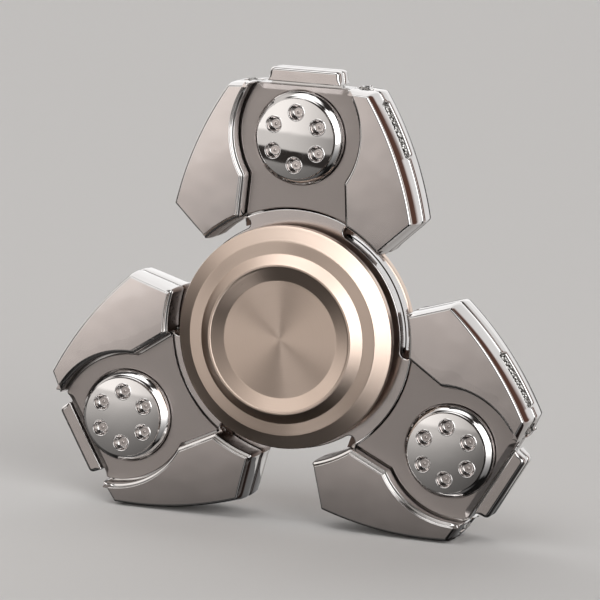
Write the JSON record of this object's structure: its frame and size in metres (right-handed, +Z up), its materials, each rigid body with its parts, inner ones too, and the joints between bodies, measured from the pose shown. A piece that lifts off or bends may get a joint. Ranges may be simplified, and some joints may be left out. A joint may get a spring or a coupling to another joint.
{
  "type": "fidget spinner",
  "caption": "Metal fidget spinner: three winged arms carrying round dimpled weights turn on a ball bearing held between two dished finger caps.",
  "frame": {"origin": "centre of the ball bearing: on the spin axis, midway between the two faces", "axes": "+Y along the spin axis from front to rear; -Y is the front face; +Z points up one arm, so the spinner stands on its two lower arms; +X to the right seen from the front"},
  "size_m": [0.0712, 0.0154, 0.0645],
  "materials": {
    "polished_casting": "polished plated zinc casting",
    "satin_plate": "satin plated face plate",
    "polished_weight": "polished plated steel",
    "rough_casting": "rough as-cast zinc",
    "turned_aluminium": "turned, champagne anodised",
    "bearing_shield": "pressed sheet steel",
    "stud_steel": "threaded steel",
    "bearing_steel": "ground bearing steel"
  },
  "bodies": {
    "frame": {"front_shell": "polished_casting", "rear_shell": "polished_casting", "core_frame": "rough_casting", "front_plate_top": "satin_plate", "front_plate_left": "satin_plate", "front_plate_right": "satin_plate", "rear_plate_top": "satin_plate", "rear_plate_left": "satin_plate", "rear_plate_right": "satin_plate", "front_weight_top": "polished_weight", "front_weight_left": "polished_weight", "front_weight_right": "polished_weight", "rear_weight_top": "polished_weight", "rear_weight_left": "polished_weight", "rear_weight_right": "polished_weight", "bearing_outer_ring": "bearing_steel", "bearing_front_shield": "bearing_shield", "bearing_rear_shield": "bearing_shield"},
    "hub": {"bearing_inner_ring": "bearing_steel", "front_cap": "turned_aluminium", "rear_cap": "turned_aluminium", "cap_stud": "stud_steel"},
    "cage": {"bearing_cage": "bearing_steel"},
    "ball_1": {"ball_1": "bearing_steel"},
    "ball_2": {"ball_2": "bearing_steel"},
    "ball_3": {"ball_3": "bearing_steel"},
    "ball_4": {"ball_4": "bearing_steel"},
    "ball_5": {"ball_5": "bearing_steel"},
    "ball_6": {"ball_6": "bearing_steel"},
    "ball_7": {"ball_7": "bearing_steel"}
  },
  "joints": [
    {"name": "hub_spin", "type": "hinge", "parent": "frame", "child": "hub", "pos_m": [0, 0, 0], "axis": [0, 1, 0], "continuous": true},
    {"name": "cage_spin", "type": "hinge", "parent": "frame", "child": "cage", "pos_m": [0, 0, 0], "axis": [0, 1, 0], "continuous": true},
    {"name": "ball_1_roll", "type": "hinge", "parent": "cage", "child": "ball_1", "pos_m": [-0.00586, 0, 0.00468], "axis": [0, 1, 0], "continuous": true},
    {"name": "ball_2_roll", "type": "hinge", "parent": "cage", "child": "ball_2", "pos_m": [-0.00731, 0, -0.00167], "axis": [0, 1, 0], "continuous": true},
    {"name": "ball_3_roll", "type": "hinge", "parent": "cage", "child": "ball_3", "pos_m": [-0.00325, 0, -0.00676], "axis": [0, 1, 0], "continuous": true},
    {"name": "ball_4_roll", "type": "hinge", "parent": "cage", "child": "ball_4", "pos_m": [0.00325, 0, -0.00676], "axis": [0, 1, 0], "continuous": true},
    {"name": "ball_5_roll", "type": "hinge", "parent": "cage", "child": "ball_5", "pos_m": [0.00731, 0, -0.00167], "axis": [0, 1, 0], "continuous": true},
    {"name": "ball_6_roll", "type": "hinge", "parent": "cage", "child": "ball_6", "pos_m": [0.00586, 0, 0.00468], "axis": [0, 1, 0], "continuous": true},
    {"name": "ball_7_roll", "type": "hinge", "parent": "cage", "child": "ball_7", "pos_m": [0, 0, 0.0075], "axis": [0, 1, 0], "continuous": true}
  ],
  "couplings": [
    {"joint": "cage_spin", "follows": "hub_spin", "ratio": 0.3677},
    {"joint": "ball_1_roll", "follows": "hub_spin", "ratio": -1.7573},
    {"joint": "ball_2_roll", "follows": "hub_spin", "ratio": -1.7573},
    {"joint": "ball_3_roll", "follows": "hub_spin", "ratio": -1.7573},
    {"joint": "ball_4_roll", "follows": "hub_spin", "ratio": -1.7573},
    {"joint": "ball_5_roll", "follows": "hub_spin", "ratio": -1.7573},
    {"joint": "ball_6_roll", "follows": "hub_spin", "ratio": -1.7573},
    {"joint": "ball_7_roll", "follows": "hub_spin", "ratio": -1.7573}
  ]
}
